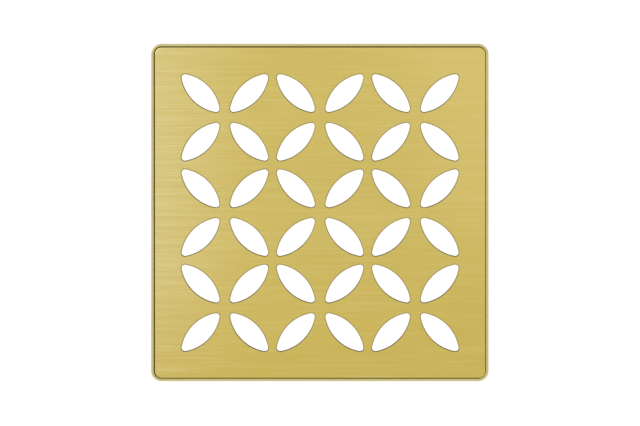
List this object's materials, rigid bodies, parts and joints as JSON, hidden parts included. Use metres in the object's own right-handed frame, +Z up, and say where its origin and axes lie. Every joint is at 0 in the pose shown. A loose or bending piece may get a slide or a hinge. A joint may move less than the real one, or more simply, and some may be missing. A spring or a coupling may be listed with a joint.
{
  "type": "floor drain grate",
  "caption": "Square shower-drain grate pierced with petal openings, lying in a thin open frame with spring clips and levelling feet.",
  "frame": {"origin": "under the middle of the frame, on the surface that the levelling feet stand on", "axes": "+Z up out of the drain, X and Y along the sides of the square"},
  "size_m": [0.102, 0.102, 0.024],
  "materials": {
    "brass_plate": "brass-coloured metal, brushed with fine straight lines",
    "brass_frame": "brass-coloured metal, satin",
    "stainless": "plain stainless steel, satin",
    "cushion_rubber": "soft black rubber",
    "foot_nylon": "moulded dark grey nylon"
  },
  "bodies": {
    "frame": {"frame_wall": "brass_frame", "ledge_ring": "brass_frame", "cushion_right": "cushion_rubber", "cushion_back": "cushion_rubber", "cushion_left": "cushion_rubber", "cushion_front": "cushion_rubber", "boss_front_left": "brass_frame", "lock_nut_front_left": "stainless", "boss_front_right": "brass_frame", "lock_nut_front_right": "stainless", "boss_back_right": "brass_frame", "lock_nut_back_right": "stainless", "boss_back_left": "brass_frame", "lock_nut_back_left": "stainless"},
    "grate": {"grate_plate": "brass_plate", "clip_stud_right": "stainless", "clip_base_right": "stainless", "clip_nut_right": "stainless", "clip_stud_back": "stainless", "clip_base_back": "stainless", "clip_nut_back": "stainless", "clip_stud_left": "stainless", "clip_base_left": "stainless", "clip_nut_left": "stainless", "clip_stud_front": "stainless", "clip_base_front": "stainless", "clip_nut_front": "stainless"},
    "leaf_right": {"clip_leaf_right": "stainless"},
    "leaf_back": {"clip_leaf_back": "stainless"},
    "leaf_left": {"clip_leaf_left": "stainless"},
    "leaf_front": {"clip_leaf_front": "stainless"},
    "foot_front_left": {"foot_pad_front_left": "foot_nylon"},
    "screw_front_left": {"levelling_screw_front_left": "stainless"},
    "foot_front_right": {"foot_pad_front_right": "foot_nylon"},
    "screw_front_right": {"levelling_screw_front_right": "stainless"},
    "foot_back_right": {"foot_pad_back_right": "foot_nylon"},
    "screw_back_right": {"levelling_screw_back_right": "stainless"},
    "foot_back_left": {"foot_pad_back_left": "foot_nylon"},
    "screw_back_left": {"levelling_screw_back_left": "stainless"}
  },
  "joints": [
    {"name": "grate_lift", "type": "slide", "parent": "frame", "child": "grate", "axis": [0, 0, 1], "range_m": [0, 0.03]},
    {"name": "leaf_flex_right", "type": "hinge", "parent": "grate", "child": "leaf_right", "pos_m": [0.04428, -0.00006, 0.0216], "axis": [0, 1, 0], "range_deg": [0, 4], "stiffness_Nm_per_rad": 0.02},
    {"name": "leaf_flex_back", "type": "hinge", "parent": "grate", "child": "leaf_back", "pos_m": [0.00008, 0.04414, 0.0216], "axis": [-1, 0, 0], "range_deg": [0, 4], "stiffness_Nm_per_rad": 0.02},
    {"name": "leaf_flex_left", "type": "hinge", "parent": "grate", "child": "leaf_left", "pos_m": [-0.04412, -0.00006, 0.0216], "axis": [0, -1, 0], "range_deg": [0, 4], "stiffness_Nm_per_rad": 0.02},
    {"name": "leaf_flex_front", "type": "hinge", "parent": "grate", "child": "leaf_front", "pos_m": [0.00008, -0.04426, 0.0216], "axis": [1, 0, 0], "range_deg": [0, 4], "stiffness_Nm_per_rad": 0.02},
    {"name": "foot_height_front_left", "type": "slide", "parent": "frame", "child": "foot_front_left", "axis": [0, 0, 1], "range_m": [-0.0025, 0.0025]},
    {"name": "screw_turn_front_left", "type": "hinge", "parent": "foot_front_left", "child": "screw_front_left", "pos_m": [-0.0458, -0.0458, 0.01], "axis": [0, 0, 1], "range_deg": [-1286, 1286]},
    {"name": "foot_height_front_right", "type": "slide", "parent": "frame", "child": "foot_front_right", "axis": [0, 0, 1], "range_m": [-0.0025, 0.0025]},
    {"name": "screw_turn_front_right", "type": "hinge", "parent": "foot_front_right", "child": "screw_front_right", "pos_m": [0.0458, -0.0458, 0.01], "axis": [0, 0, 1], "range_deg": [-1286, 1286]},
    {"name": "foot_height_back_right", "type": "slide", "parent": "frame", "child": "foot_back_right", "axis": [0, 0, 1], "range_m": [-0.0025, 0.0025]},
    {"name": "screw_turn_back_right", "type": "hinge", "parent": "foot_back_right", "child": "screw_back_right", "pos_m": [0.0458, 0.0458, 0.01], "axis": [0, 0, 1], "range_deg": [-1286, 1286]},
    {"name": "foot_height_back_left", "type": "slide", "parent": "frame", "child": "foot_back_left", "axis": [0, 0, 1], "range_m": [-0.0025, 0.0025]},
    {"name": "screw_turn_back_left", "type": "hinge", "parent": "foot_back_left", "child": "screw_back_left", "pos_m": [-0.0458, 0.0458, 0.01], "axis": [0, 0, 1], "range_deg": [-1286, 1286]}
  ],
  "couplings": [
    {"joint": "screw_turn_front_left", "follows": "foot_height_front_left", "rad_per_m": 8976},
    {"joint": "screw_turn_front_right", "follows": "foot_height_front_right", "rad_per_m": 8976},
    {"joint": "screw_turn_back_right", "follows": "foot_height_back_right", "rad_per_m": 8976},
    {"joint": "screw_turn_back_left", "follows": "foot_height_back_left", "rad_per_m": 8976}
  ]
}
